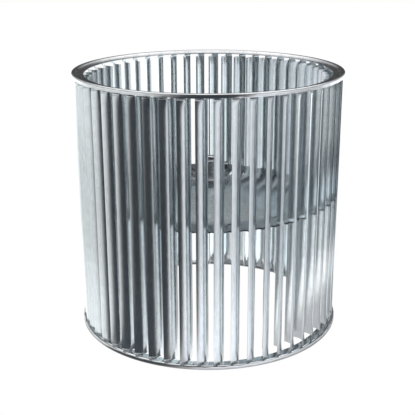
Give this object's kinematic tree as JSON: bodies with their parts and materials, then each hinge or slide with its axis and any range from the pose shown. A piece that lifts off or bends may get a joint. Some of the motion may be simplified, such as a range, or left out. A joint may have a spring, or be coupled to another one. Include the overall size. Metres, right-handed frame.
{
  "type": "blower motor wheel",
  "caption": "Double-inlet forward-curved blower wheel: galvanised curved blades between two rolled end rings, a dished centre disc and a set-screw hub for the motor shaft.",
  "frame": {"origin": "centre of the lower end ring's outer face, on the wheel's axis, where the wheel stands", "axes": "+Z along the wheel's axis and the shaft bore, from the lower ring to the upper ring, towards the end where the hub's set screw is reached; +X towards the set screw's head"},
  "size_m": [0.27, 0.27, 0.263],
  "materials": {
    "blade_steel": "galvanised sheet, semi-bright, rolled along the blades",
    "ring_steel": "galvanised sheet, rolled bead, semi-bright",
    "disc_steel": "galvanised sheet, pressed, semi-bright",
    "hub_steel": "turned steel, zinc plated",
    "screw_steel": "dark zinc plated"
  },
  "bodies": {
    "wheel": {"blade_01": "blade_steel", "blade_02": "blade_steel", "blade_03": "blade_steel", "blade_04": "blade_steel", "blade_05": "blade_steel", "blade_06": "blade_steel", "blade_07": "blade_steel", "blade_08": "blade_steel", "blade_09": "blade_steel", "blade_10": "blade_steel", "blade_11": "blade_steel", "blade_12": "blade_steel", "blade_13": "blade_steel", "blade_14": "blade_steel", "blade_15": "blade_steel", "blade_16": "blade_steel", "blade_17": "blade_steel", "blade_18": "blade_steel", "blade_19": "blade_steel", "blade_20": "blade_steel", "blade_21": "blade_steel", "blade_22": "blade_steel", "blade_23": "blade_steel", "blade_24": "blade_steel", "blade_25": "blade_steel", "blade_26": "blade_steel", "blade_27": "blade_steel", "blade_28": "blade_steel", "blade_29": "blade_steel", "blade_30": "blade_steel", "blade_31": "blade_steel", "blade_32": "blade_steel", "blade_33": "blade_steel", "blade_34": "blade_steel", "blade_35": "blade_steel", "blade_36": "blade_steel", "blade_37": "blade_steel", "blade_38": "blade_steel", "blade_39": "blade_steel", "blade_40": "blade_steel", "blade_41": "blade_steel", "blade_42": "blade_steel", "blade_43": "blade_steel", "blade_44": "blade_steel", "blade_45": "blade_steel", "blade_46": "blade_steel", "blade_47": "blade_steel", "blade_48": "blade_steel", "blade_49": "blade_steel", "blade_50": "blade_steel", "blade_51": "blade_steel", "blade_52": "blade_steel", "top_end_ring": "ring_steel", "bottom_end_ring": "ring_steel", "centre_disc": "disc_steel", "hub": "hub_steel"},
    "set_screw_body": {"set_screw": "screw_steel"}
  },
  "joints": [
    {"name": "set_screw_slide", "type": "slide", "parent": "wheel", "child": "set_screw_body", "axis": [1, 0, 0], "range_m": [0, 0.006]}
  ]
}
